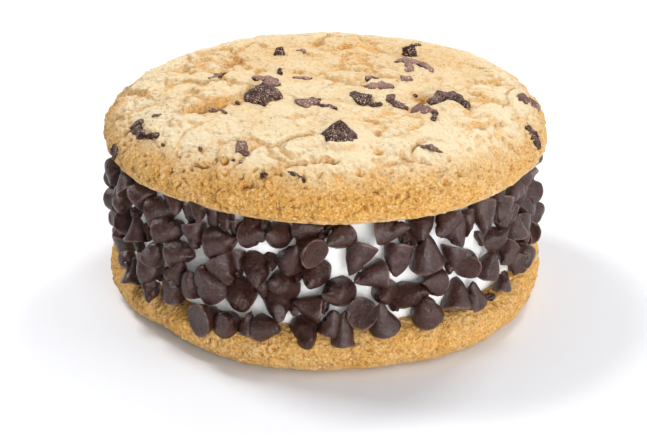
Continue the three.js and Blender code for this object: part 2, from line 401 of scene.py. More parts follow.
def chocolateMaterial(name, bloomed, roughness, gloss, floured):
    paint = Paint(name)
    cloud = paint.noise(chocolate["cloudSize"], 3.0)
    dust = paint.noise(chocolate["dustSize"], 4.0, 0.7)
    veil = paint.steps(cloud, 0.35, 0.75) * bloomed
    colour = paint.mix(veil, chocolate["body"], chocolate["bloom"])
    specks = paint.steps(dust, 0.55, 0.67) * (0.9 * bloomed)
    colour = paint.mix(specks, colour, chocolate["dust"])
    # darker where the dust noise is low, where its bump is low too: partly dark specks, partly painted
    # shade
    colour = paint.mix(paint.steps(dust, 0.46, 0.34) * 0.5, colour, chocolate["deep"])
    # base rims made lighter: partly worn edges, partly painted sheen where the rim catches light
    worn = paint.attribute("worn") * paint.steps(cloud, 0.3, 0.6) * 0.7
    colour = paint.mix(worn, colour, chocolate["dust"])
    if floured:  # baked in, it has dull brown patches and bits of dough stick to it
        dull = paint.steps(paint.noise(chocolate["dullSize"], 3.0, 0.6), 0.46, 0.62) * 0.25
        dull = (dull + paint.attribute("pale") * (0.65 + 0.3 * cloud)).clamped()
        colour = paint.mix(dull, colour, chocolate["milky"])
        # painted shade where the chocolate goes into the dough
        colour = paint.mix(paint.attribute("sunk") * 0.85, colour, chocolate["deep"])
        flour = paint.steps(paint.noise(chocolate["crumbSize"], 3.0, 0.7), 0.56, 0.62)
        flour = flour * paint.steps(paint.noise(2.2, 2.0), 0.38, 0.54)
        colour = paint.mix(flour * floured, colour, chocolate["crumb"])
    wet = paint.steps(paint.noise(chocolate["wetSize"], 2.0), 0.66, 0.72)
    wet = (wet + paint.attribute("shine")).clamped()
    wave = paint.bump(paint.noise(chocolate["waveSize"], 3.0), chocolate["waveDepth"])
    wave = paint.bump(dust, chocolate["dustDepth"], wave)
    return paint.finish({
        "Base Color": colour,
        "Roughness": (veil * 0.2 + roughness) - wet * (roughness - chocolate["wetRoughness"]),
        "Specular IOR Level": gloss,
        "Normal": wave,
    })


creamFinish = dict(
    light=seen(250, 249, 246),
    shade=seen(244, 241, 236),
    roughness=0.45,
    gloss=0.4,
    scatter=0.0018,  # how far light goes in it, in metres
    # painted glow: emission that lifts the cream as if light came through it from all sides
    paintedGlow=0.08,  # for light that has come through from all sides
    cloudSize=3.0,
    dentSize=1.4,
    dentDepth=0.12,
)


def creamMaterial():
    paint = Paint("ice cream")
    cloud = paint.noise(creamFinish["cloudSize"], 3.0)
    colour = paint.mix(cloud, creamFinish["light"], creamFinish["shade"])
    dents = paint.bump(paint.noise(creamFinish["dentSize"], 3.0), creamFinish["dentDepth"])
    return paint.finish({
        "Base Color": colour,
        "Roughness": creamFinish["roughness"],
        "Specular IOR Level": creamFinish["gloss"],
        "Subsurface Weight": 1.0,
        "Subsurface Radius": (1.0, 0.95, 0.9),
        "Subsurface Scale": creamFinish["scatter"],
        # painted glow over the whole cream
        "Emission Color": (1.0, 0.99, 0.97),
        "Emission Strength": creamFinish["paintedGlow"],
        "Normal": dents,
    })


doughLook = doughMaterial()
smallChipLook = chocolateMaterial("small chip chocolate", 0.5, 0.27, 0.44, 0.0)
bakedChipLook = chocolateMaterial("baked chip chocolate", 0.15, 0.45, 0.14, 0.8)
creamLook = creamMaterial()
print("materials made")


def swell(swells, degrees):
    # how far the outline stands out at each angle, from rows of angle, width and rise
    total = np.zeros_like(degrees)
    for at, width, rise in swells:
        away = ((degrees - at + 540) % 360 - 180) / width
        total += rise * np.exp(-away * away)
    return total


def reliefAt(x, y, lumps):
    # height of a slow wave and of all the lumps together
    total = 0.18 * np.sin(x / 3.1 + 0.7) * np.cos(y / 2.7 - 0.4)
    for lumpX, lumpY, radius, rise in lumps:
        away = np.hypot(x - lumpX, y - lumpY) / radius
        total += rise * np.exp(-away * away)
    return total


top = dict(
    radius=45.0,
    flatRadius=43.6,  # of the underside
    base=31.5,
    edge=3.1,  # from the underside to the widest part
    crown=9.9,  # from the widest part to the middle
    power=4.7,  # how flat the dome is
    shoulder=1.5,  # how square it turns down
    swells=[(38, 20, 1.2), (85, 22, -0.6), (160, 28, 0.6), (238, 22, -1.2), (300, 15, 0.4)],
    lumps=[  # x, y, radius, rise
        (-27, -9, 6.5, 0.9), (-19, -8, 5, 0.7), (-24, -15.5, 5.5, -0.7), (-6, -40, 7, 0.8),
        (-5, -35.5, 6, -0.6), (9.7, -25, 4.5, -0.9), (19.5, -10.5, 3.6, -1.0), (-3, -20, 8, -0.4),
        (30, 20, 9, 0.7), (4, 27, 7, 0.6), (-15, 28, 7, 0.5), (-34, 12, 8, 0.5),
        (31, -27, 7, 0.5), (-28, 7, 3, -0.7), (-18, 10, 3, -0.6), (-13, 22.5, 3, -0.6),
        (29, 13, 3.5, -0.6), (14, 4, 6, 0.4),
    ],
    meshMiddle=0.36,
    meshEdge=0.265,
    meshBelow=2.0,
)


def dome(share):
    # height of the plain dome, from its middle (0) to its widest part (1)
    rise = (1 - share ** top["power"]) ** (1 / top["shoulder"])
    return top["base"] + top["edge"] + top["crown"] * rise


def topHeight(x, y):
    # the top cookie's surface without its fine detail
    outline = top["radius"] + swell(top["swells"], np.degrees(np.arctan2(y, x)))
    share = np.minimum(np.hypot(x, y) / outline, 1.0)
    return dome(share) + reliefAt(x, y, top["lumps"]) * np.minimum(1, 3 * (1 - share))


def onTop(across, down):
    # where the sight line meets the top cookie's dome
    ray = sightLine(across, down)
    reach = (50 - eye[2]) / ray[2] + np.linspace(0, 60, 1500)  # from 50 mm above the table on
    points = eye + ray * reach[:, None]
    over = np.hypot(points[:, 0], points[:, 1]) < top["radius"] + 1.5
    return points[np.argmax(over & (points[:, 2] <= topHeight(points[:, 0], points[:, 1])))]


def crack(width, depth, rise, *seen):
    # A crack or overhanging fold along points that are seen from the camera. Its far side stands
    # higher by rise, and its face is painted golden and darker: partly browning, partly painted shade.
    return dict(width=width, depth=depth, rise=rise, seen=seen)


topCracks = [
    crack(0.9, 0.5, 0.8, (118, 97), (127, 93), (135, 91.6), (142.5, 94.5), (150.6, 99), (157, 100.5)),
    crack(1.2, 0.9, 1.3, (173, 112), (182, 116.5), (194, 112.5), (211.5, 107.7), (229, 103.3),
          (237, 100.6)),
    crack(0.9, 0.8, 0.4, (176, 65), (185, 69.6), (190.2, 74), (197, 75.5)),
    crack(1.1, 1.0, 0.5, (229, 55), (235, 59.3), (240.8, 66.7), (247, 72.5)),
    crack(1.0, 0.7, 0.4, (216, 48.3), (224.7, 50.5), (229, 53.5)),
    crack(1.0, 0.8, 0.3, (258, 43), (262.8, 46.1), (267.2, 47.6)),
    crack(0.7, 0.4, 0.3, (178, 83), (185, 81)),
    crack(1.0, 0.7, 0.2, (227, 79), (231, 86), (235, 89.5), (242, 91)),
    crack(0.9, 0.5, 0.4, (302, 52), (311, 55), (319, 60)),
    crack(1.2, 0.8, 0.3, (290, 72), (297, 71), (303, 73)),
    crack(0.9, 0.4, 0.5, (112, 124), (119, 121), (127, 118.5), (133, 117)),
    crack(1.3, 0.6, 0.4, (164.5, 124), (172, 126), (180, 128)),
    crack(0.8, 0.4, 0.3, (322, 78), (328, 76.5)),
    crack(0.8, 0.3, 0.5, (335, 82), (344, 80.5), (353, 83)),
    crack(0.9, 0.6, 0.5, (456, 63.7), (466.7, 65.2), (481.4, 68.9), (490, 68)),
    crack(1.0, 0.6, 0.6, (460.8, 79.9), (475.5, 84.3), (491.6, 87.2), (504.8, 84.3), (518, 81.3)),
    crack(0.8, 0.3, 0.3, (480, 100.4), (494.6, 100.4)),
    crack(1.0, 0.5, 0.7, (453.5, 126.8), (466.7, 128.3), (481.4, 125.3), (491.6, 122.4), (500.4, 126.8),
          (515, 131.2)),
    crack(1.0, 0.8, 0.1, (355, 112), (364, 118), (372.8, 123.9), (378.7, 132.7), (381.6, 138.5)),
    crack(0.7, 0.7, 0.0, (375.7, 114), (376.5, 125)),
    crack(0.9, 1.3, 0.3, (194, 163), (200, 166.2), (208, 165.3)),
    crack(0.9, 0.9, 0.4, (208.5, 155), (215.9, 159.3), (224.7, 162.3), (232, 158)),
    crack(0.8, 1.1, 0.6, (257, 174), (268.7, 172.5), (281.9, 169.6), (305.4, 165.2), (330, 161.5),
          (346, 160)),
    crack(0.9, 1.4, 0.5, (237.9, 195.5), (240.8, 189.5), (247, 187), (255, 185)),
    crack(0.6, 1.3, 0.2, (286.3, 171), (295, 172.5), (302.4, 176.9), (306.8, 182)),
    crack(0.6, 1.0, 0.0, (201.2, 178), (202.7, 185)),
    crack(0.5, 0.7, 0.2, (283, 209.2), (291, 210.7)),
    crack(0.9, 1.1, 0.4, (393.3, 157), (402.2, 157.9), (409.5, 158.6)),
    crack(0.9, 0.8, 0.0, (402.5, 160), (404, 166)),
    crack(0.55, 0.9, 0.0, (406.5, 179), (408, 190), (407.5, 199)),
    crack(0.5, 0.8, 0.2, (420.5, 196), (426, 199.5)),
    crack(0.45, 0.5, 0.0, (466, 166), (467, 175)),
    crack(0.8, 1.1, 0.2, (469, 151.8), (476, 152.2)),
]

topPits = [  # seen across, down, width and depth, which is negative for a lump
    (255, 90, 1.8, -1.8), (283.5, 65, 1.0, -0.7), (283.5, 71, 1.0, -0.7), (380, 98, 1.8, -0.8),
    (424, 118.5, 1.4, -0.4), (450.5, 106.5, 2.0, -1.2), (398, 69, 1.2, -0.5), (421, 72, 1.3, -0.5),
    (151, 131, 1.0, -0.9), (423, 98, 1.8, 1.3),
    (140, 130, 0.5, 0.6), (330, 147, 1.2, -0.9), (341, 148, 1.3, -1.0), (351, 146, 1.1, -0.8),
    (162.3, 86.6, 0.9, 0.6), (347.9, 45.4, 1.3, 0.9), (440.2, 78.4, 0.7, 0.8), (378, 152, 1.2, 0.9),
    (359.6, 173.3, 0.8, 0.9), (339, 177.5, 1.4, 0.8), (446.9, 182.3, 0.8, 1.0), (434, 173.5, 1.0, 0.6),
    (163, 145.4, 0.5, 0.8), (163, 185, 0.6, 0.9), (199.5, 148, 0.6, 0.8), (485.8, 124, 0.8, 0.6),
    (237, 101, 0.8, 0.8), (238.6, 63, 0.9, 0.7), (178, 182, 0.5, 0.6), (222, 196, 0.6, 0.6),
    (325, 71, 0.8, 0.4), (395, 84, 0.6, 0.5),
]


def pressCracks(points, cracks, placeOn):
    # height change along the cracks, and how much painted shade each point gets in a crack or on a fold's
    # face, 0 to 1
    lift = np.zeros(len(points))
    hollowTintAndShade = np.zeros(len(points))
    for line in cracks:
        path = np.array([placeOn(*spot) for spot in line["seen"]])
        width = line["width"]
        reach = 5 * width
        close = np.all((points > path.min(axis=0) - reach) & (points < path.max(axis=0) + reach), axis=1)
        near = np.nonzero(close)[0]
        p = shaken(shaken(points[near], 3.0, 1.5, 1.0), 1.0, 0.6, 2.0)
        best = np.full(len(near), 1e9)
        side = np.zeros(len(near))
        share = np.zeros(len(near))
        for k in range(len(path) - 1):
            run, away = path[k + 1] - path[k], p - path[k]
            t = np.clip(away @ run / (run @ run), 0, 1)
            apart = np.linalg.norm(away - t[:, None] * run, axis=1)
            across = (run[0] * away[:, 1] - run[1] * away[:, 0]) / math.hypot(run[0], run[1])
            closer = apart < best
            best = np.where(closer, apart, best)
            side = np.where(closer, across, side)
            share = np.where(closer, (k + t) / (len(path) - 1), share)
        taper = np.clip(1.6 * np.sin(np.pi * np.clip(share, 0.05, 0.95)), 0, 1)
        taper = taper * (0.9 + 0.7 * wobble(p, 2.5, 4.0))
        dip = np.exp(-(best / (0.5 * width)) ** 2) * taper
        stand = smoothStep(side, -0.1 * width, 1.1 * width) * taper
        stand = stand * np.exp(-(best / (4.5 * width)) ** 2)
        lift[near] += 1.15 * line["rise"] * stand - 1.1 * line["depth"] * dip
        face = smoothStep(side, -0.2 * width, 0.2 * width) * smoothStep(side, 1.5 * width, 0.7 * width)
        face = face * (best < 3 * width) * taper
        deep = np.maximum(0.65 * face * min(1.0, line["rise"]), dip * min(1.0, line["depth"]))
        hollowTintAndShade[near] = np.maximum(hollowTintAndShade[near], deep)
    return lift, hollowTintAndShade


def pressPits(points, pits, placeOn):
    # the same for round pits and lumps
    lift = np.zeros(len(points))
    hollowTintAndShade = np.zeros(len(points))
    for across, down, width, depth in pits:
        apart = np.linalg.norm(points - placeOn(across, down), axis=1)
        dip = np.exp(-(apart / width) ** 2)
        lift -= depth * dip
        hollowTintAndShade = np.maximum(hollowTintAndShade, dip * min(1.0, depth))
    return lift, hollowTintAndShade


crumb = dict(  # widths and heights of the lumps in the dough's skin, largest first
    plates=9.5,
    lumps=4.2,
    grains=1.05,
    plateHeight=1.1,
    lumpHeight=0.3,
    grainHeight=0.2,
    poreDepth=0.28,
)


def crumbly(points, edgeShare):
    # plates, lumps, crumbs and pores of the dough: outward move in mm, and the painted shade
    # of its valleys and pits
    ragged = shaken(shaken(points, 6.0, 3.4, 1.0), 1.6, 1.0, 5.0)
    border, own = cells(ragged, crumb["plates"], 3.0)
    parted = smoothStep(wobble(points, 15.0, 2.0), -0.2, 0.15)  # where the skin has parted into plates
    move = crumb["plateHeight"] * (0.2 + 0.8 * own) * smoothStep(border, 0.0, 0.9) - 0.65
    move = (1 - 0.45 * edgeShare) * move * (0.25 + 0.75 * parted)
    valley = 0.7 * np.exp(-(border / 0.3) ** 2) * parted
    border, own = cells(ragged, crumb["lumps"], 9.0)
    parted = smoothStep(wobble(points, 8.0, 4.0), -0.1, 0.2)
    lump = (own - 0.4) * smoothStep(border, 0.0, 0.5) * (0.25 + 0.75 * parted)
    move += (crumb["lumpHeight"] + 0.1 * edgeShare) * lump
    valley = np.maximum(valley, 0.5 * np.exp(-(border / 0.18) ** 2) * parted)
    border, own = cells(shaken(points, 1.0, 0.5), crumb["grains"], 5.0)
    grain = (own - 0.45) * smoothStep(border, 0.0, 0.3)
    move += (crumb["grainHeight"] + 0.2 * edgeShare) * grain
    move += (0.2 + 0.15 * edgeShare) * wobble(points, 0.9, 3.0)
    move += (0.2 + 0.25 * edgeShare) * wobble(points, 3.0, 8.0)
    pit = (own < 0.05 + 0.11 * edgeShare) * smoothStep(border, 0.0, 0.3)
    hollowTintAndShade = np.maximum(valley * (1 - 0.3 * edgeShare), (0.3 + 0.7 * edgeShare) * pit)
    return move - (crumb["poreDepth"] + 0.2 * edgeShare) * pit, hollowTintAndShade


def normalsOf(points, faces):
    corners = np.array(faces)
    first, second, third = (points[corners[:, k]] for k in range(3))
    across = np.cross(second - first, third - first)
    total = np.zeros_like(points)
    for k in range(3):
        np.add.at(total, corners[:, k], across)
    return total / np.maximum(np.linalg.norm(total, axis=1), 1e-9)[:, None]


def buildTop():
    shares = np.sin(np.linspace(0, math.pi / 2, 90))
    profile = [(top["radius"] * s, dome(s)) for s in shares]
    lip = top["radius"] - top["flatRadius"]
    for s in np.linspace(0.95, 0, 14):
        bow = math.sqrt(1 - (1 - s) ** 2)
        profile.append((top["flatRadius"] + lip * bow, top["base"] + s * top["edge"]))
    profile.append((0, top["base"]))

    def spacing(radius, height):
        if height < top["base"] + 0.05 and radius < top["flatRadius"] - 0.6:
            return top["meshBelow"]
        finer = float(smoothStep(radius, 25, 38))
        return top["meshMiddle"] + (top["meshEdge"] - top["meshMiddle"]) * finer

    grid, faces = ringGrid(profile, spacing)
    radius, height, turn, outward, up = grid.T
    outline = swell(top["swells"], np.degrees(turn) % 360)
    stretch = 1 + np.minimum(radius / top["flatRadius"], 1) * outline / top["radius"]
    x, y = radius * stretch * np.cos(turn), radius * stretch * np.sin(turn)
    share = np.clip(radius / top["radius"], 0, 1)
    onUpper = smoothStep(height, top["base"] + top["edge"], top["base"] + top["edge"] + 2)
    z = height + onUpper * reliefAt(x, y, top["lumps"]) * np.minimum(1, 3 * (1 - share))
    points = np.stack([x, y, z], axis=1)
    normals = np.stack([outward * np.cos(turn), outward * np.sin(turn), up], axis=1)
    edgeShare = smoothStep(share, 0.78, 0.97)
    lowerLip = smoothStep(height, top["base"] + 1.3, top["base"] + 0.4)
    underside = smoothStep(height, top["base"] + 0.3, top["base"] + 0.02) * (up < 0)
    lift, hollowTintAndShade = pressCracks(points, topCracks, onTop)
    pitLift, pitHollow = pressPits(points, topPits, onTop)
    move, poreShade = crumbly(points, edgeShare)
    move = move * (1 - 0.6 * lowerLip) * (1 - 0.8 * underside)
    points = points + normals * (move + lift + pitLift)[:, None]
    points[:, 2] = np.maximum(points[:, 2], top["base"])
    slope = np.clip((up - normalsOf(points, faces)[:, 2]) / 0.4, 0, 1) * (1 - edgeShare)
    # the edge is baked most, the middle is pale, and the sides are paler than the front. Steep slopes
    # are made more golden as painted shade, and the side, back and shoulder terms partly even out the
    # lamps as painted light
    browningAndShade = 0.02 + 1.1 * smoothStep(share, 0.8, 1.02) - 0.35 * lowerLip + 0.5 * slope
    browningAndShade += 0.26 * smoothStep(y, -8, 12) * smoothStep(y, 36, 18) * (0.3 + 0.7 * smoothStep(x, -30, -12))
    sides = 0.42 * np.cos(turn) ** 2 + 0.1 * np.cos(turn) + 0.3 * np.maximum(np.sin(turn), 0)
    sides += 0.08 * np.maximum(np.cos(turn - math.radians(235)), 0) ** 2
    browningAndShade -= smoothStep(share, 0.72, 0.92) * sides
    browningAndShade -= 0.16 * smoothStep(share, 0.6, 0.8) * smoothStep(share, 0.98, 0.87)
    # painted shade of cracks, pits and valleys, with some deeper browning in the creases
    hollowTintAndShade = np.clip(np.maximum(np.maximum(hollowTintAndShade, pitHollow), poreShade), 0, 1)
    piece = makePiece("cookieTop", points, faces, doughLook, {"browningAndShade": browningAndShade, "hollowTintAndShade": hollowTintAndShade})
    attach(piece, "root")
    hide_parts("cookie_top")
    return piece


topPiece = buildTop()
print("top cookie", len(topPiece.data.polygons))

bottom = dict(
    radius=45.4,
    thickness=9.0,
    edge=4.0,  # the round edge starts this far inside the widest part
    swells=[
        (60, 20, 0.4), (110, 22, -0.4), (155, 18, 0.5), (215, 24, -0.9), (256, 12, 0.5),
        (306, 12, 1.0), (350, 20, -0.8),
    ],
    lift=2.0,  # how far the edge stands off the table at liftAt
    liftAt=[(222, 14, 1)],
    liftFrom=33.0,  # the underside is flat out to this radius
    sag=1.2,  # how far the upper edge slopes down at sagAt
    sagAt=[(203, 22, 1)],
    sagFrom=(36, 43),  # it is flat inside the first radius and full from the second on
    mesh=0.29,
)

bottomCracks = [
    crack(0.5, 0.7, 0.0, (459.5, 335.4), (454, 340), (448, 346), (443, 352)),
    crack(0.45, 0.6, 0.0, (410, 352), (418, 351.5)),
    crack(0.45, 0.7, 0.0, (366, 346), (369, 349)),
    crack(0.5, 0.7, 0.0, (371, 350.5), (375.5, 353)),
]

bottomPits = [
    (459.5, 335.6, 0.75, 1.2), (350, 351, 0.5, 0.7), (351.8, 355.2, 0.5, 0.7), (472, 320.3, 0.5, 0.7),
    (442.3, 335.2, 0.5, 0.7), (480.6, 328.5, 0.5, 0.6), (464.6, 314.5, 0.6, 0.9),
    (507.4, 285.8, 0.6, 0.9),
]


def buildBottom():
    inner = bottom["radius"] - bottom["edge"]
    profile = [(0, bottom["thickness"])]
    for s in np.linspace(1, 0, 60):
        bow = (1 - abs(2 * s - 1) ** 2) ** (1 / 1.6)
        profile.append((inner + bottom["edge"] * bow, s * bottom["thickness"]))
    profile.append((0, 0))

    def spacing(radius, height):
        return bottom["mesh"] + 2.0 * float(smoothStep(radius, inner - 0.4, inner - 3))

    grid, faces = ringGrid(profile, spacing)
    radius, height, turn, outward, up = grid.T
    degrees = np.degrees(turn) % 360
    rim = smoothStep(radius, inner, bottom["radius"])
    reach = radius + rim * swell(bottom["swells"], degrees)
    x, y = reach * np.cos(turn), reach * np.sin(turn)
    level = height / bottom["thickness"]
    lifted = smoothStep(radius, bottom["liftFrom"], bottom["radius"]) * (1 - level)
    z = height + bottom["lift"] * swell(bottom["liftAt"], degrees) * lifted
    sagging = smoothStep(radius, *bottom["sagFrom"]) * level
    z -= bottom["sag"] * swell(bottom["sagAt"], degrees) * sagging
    points = np.stack([x, y, z], axis=1)
    normals = np.stack([outward * np.cos(turn), outward * np.sin(turn), up], axis=1)
    shown = smoothStep(radius, inner - 3, inner)
    lowerLip = smoothStep(height, 2.4, 0.8)

    def onSide(across, down):
        return onBarrel(across, down, bottom["radius"] - 0.4)

    lift, hollowTintAndShade = pressCracks(points, bottomCracks, onSide)
    pitLift, pitHollow = pressPits(points, bottomPits, onSide)
    move, poreShade = crumbly(points, np.ones(len(points)))
    move = move * (0.8 - 0.4 * lowerLip) + lift + pitLift
    underside = smoothStep(height, 0.25, 0.02)
    points = points + normals * (move * shown * (1 - underside))[:, None]
    points[:, 2] = np.maximum(points[:, 2], 0.0)
    browningAndShade = 0.85 - 0.35 * lowerLip
    # painted shade of cracks, pits and valleys, with some deeper browning in the creases
    hollowTintAndShade = np.clip(np.maximum(np.maximum(hollowTintAndShade, pitHollow), poreShade), 0, 1)
    piece = makePiece("cookieBottom", points, faces, doughLook, {"browningAndShade": browningAndShade, "hollowTintAndShade": hollowTintAndShade})
    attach(piece, "root")
    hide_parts("cookie_bottom")
    return piece


bottomPiece = buildBottom()
print("bottom cookie", len(bottomPiece.data.polygons))

cream = dict(radius=40.4, low=8.8, high=31.8, corner=0.3, mesh=0.8)


def buildCream():
    wide, corner = cream["radius"], cream["corner"]
    profile = [(0, cream["high"]), (wide - corner, cream["high"]), (wide, cream["high"] - corner)]
    profile += [(wide, cream["low"] + corner), (wide - corner, cream["low"]), (0, cream["low"])]

    def spacing(radius, height):
        return cream["mesh"] + 3.0 * float(smoothStep(radius, wide - 1, wide - 5))

    grid, faces = ringGrid(profile, spacing)
    radius, height, turn, outward, up = grid.T
    points = np.stack([radius * np.cos(turn), radius * np.sin(turn), height], axis=1)
    dent = 0.5 * wobble(points, 6.0) + 0.3 * wobble(points, 2.5)
    side = smoothStep(radius, wide - 1, wide - 0.2)
    points[:, 0] += np.cos(turn) * dent * side
    points[:, 1] += np.sin(turn) * dent * side
    piece = makePiece("iceCream", points, faces, creamLook, {})
    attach(piece, "root")
    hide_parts("ice_cream")


buildCream()
print("ice cream made")

dropBase = [(0.5, 0.03), (0.86, 0.012), (0.95, 0.0), (0.985, 0.006), (1.0, 0.03)]  # radius, height
dropSteps = (0.06, 0.13, 0.21, 0.3, 0.39, 0.48, 0.57, 0.65, 0.72, 0.79, 0.85, 0.9, 0.94, 0.97, 0.99)


def dropPoints(radius, height, sectors, full, seed, curl=0.0, groove=0.0, lumpy=0.4, knocks=3):
    # A drop of chocolate standing on its dished base. Full is how round its flanks are, curl how far
    # its tip leans over, groove how deep a fold winds round its tip, and knocks how many facets it has.
    rings = list(dropBase)
    for t in dropSteps:
        flank = (1 - t ** (0.9 + 1.4 * full)) ** (0.86 - 0.26 * full)
        rings.append((flank * (1 - 0.16 * (1 - full) * math.sin(math.pi * t)), 0.03 + 0.965 * t))
    points = [(0, 0, 0.035 * height)]
    for share, rise in rings:
        for k in range(sectors):
            turn = 2 * math.pi * k / sectors
            across, along = share * radius * math.cos(turn), share * radius * math.sin(turn)
            points.append((across, along, rise * height))
    points.append((0, 0, height))
    points = np.array(points)
    rise = points[:, 2] / height
    draw = random.Random(int(seed * 1000))
    for _ in range(knocks):
        turn, up = draw.uniform(0, 2 * math.pi), draw.uniform(0.0, 0.8)
        level = math.sqrt(1 - up * up)
        way = np.array([math.cos(turn) * level, math.sin(turn) * level, up])
        beyond = (points - [0, 0, 0.35 * height]) @ way - draw.uniform(0.68, 0.86) * radius
        points -= np.maximum(beyond, 0)[:, None] * way * 0.85 * smoothStep(rise, 0.02, 0.2)[:, None]
    turn = np.arctan2(points[:, 1], points[:, 0])
    winding = (turn + math.pi + 8.0 * rise + seed) % (2 * math.pi) - math.pi
    fold = np.exp(-(winding / 0.5) ** 2) * smoothStep(rise, 0.35, 0.6) * smoothStep(rise, 1.0, 0.86)
    points[:, :2] *= (1 - groove * fold)[:, None]
    points[:, 0] += curl * radius * rise ** 2.5
    points[:, 2] -= abs(curl) * 0.25 * height * rise ** 4
    shine = 0.5 * fold * (groove > 0.3)
    reach = np.hypot(points[:, 0], points[:, 1])
    # the rim of the base, lighter partly from wear and partly as painted sheen
    worn = smoothStep(rise, 0.07, 0.03) * smoothStep(reach, 0.85 * radius, 0.93 * radius)
    if curl:  # the folded tip leaves a shiny dimple beside it
        spot = np.array([0.62 * curl * radius + 0.3 * radius, 0, 0.74 * height])
        apart = np.linalg.norm(points - spot, axis=1)
        points -= 0.8 * np.exp(-(apart / 0.7) ** 2)[:, None] * np.array([0.6, 0, 0.8])
        shine = np.maximum(shine, np.exp(-(apart / 0.9) ** 2))
    soft, fine = drift(points, 1.1 * radius, seed, 17.0), drift(points, 0.35 * radius, seed, 29.0)
    points += lumpy * soft + 0.22 * lumpy * fine
    faces = []
    for face in tubeFaces(len(rings), sectors):
        faces += [face] if len(face) == 3 else [face[:3], (face[0], *face[2:])]
    return points, faces, {"shine": shine, "worn": worn}


def turnedTo(points, tipWay, spin):
    # turns upright points so that the tip points along tipWay
    way = Vector(tipWay).normalized()
    turn = way.to_track_quat("Z", "X").to_matrix() @ Matrix.Rotation(spin, 3, "Z")
    return points @ np.array(turn).T


topTree = BVHTree.FromPolygons(
    [corner.co for corner in topPiece.data.vertices],
    [tuple(face.vertices) for face in topPiece.data.polygons],
)


def doughLevel(x, y):
    # height of the top cookie's own surface, averaged over a small area
    levels = []
    for stepX, stepY in ((0, 0), (1, 0), (-1, 0), (0, 1), (0, -1)):
        above = Vector((x + stepX, y + stepY, 60)) * mm
        hit = topTree.ray_cast(above, Vector((0, 0, -1)))[0]
        levels.append(hit.z / mm if hit else top["base"])
    return sum(levels) / len(levels)


def onDough(across, down):
    # where the top cookie's own surface is seen, and its outward direction, averaged over a small area
    reaches, way = [], Vector()
    for stepX, stepY in ((0, 0), (3, 0), (-3, 0), (0, 2), (0, -2)):
        ray = Vector(sightLine(across + stepX, down + stepY))
        hit, outward, _, reach = topTree.ray_cast(Vector(eye * mm), ray)
        if hit:
            reaches.append(reach / mm)
            way += outward
    return eye + sightLine(across, down) * sum(reaches) / len(reaches), np.array(way.normalized())


def steepness(x, y):
    # the top cookie's outward direction
    slopeX = float(topHeight(x + 1.5, y) - topHeight(x - 1.5, y)) / 3
    slopeY = float(topHeight(x, y + 1.5) - topHeight(x, y - 1.5)) / 3
    return Vector((-slopeX, -slopeY, 1)).normalized()


def bar(wide, rise, pale, *seen):
    # Ragged chocolate pressed into the dough: half its width, how far it stands out, how pale it is
    # from 0 to 1, and the points that it is seen along.
    return dict(wide=wide, rise=rise, pale=pale, seen=seen)


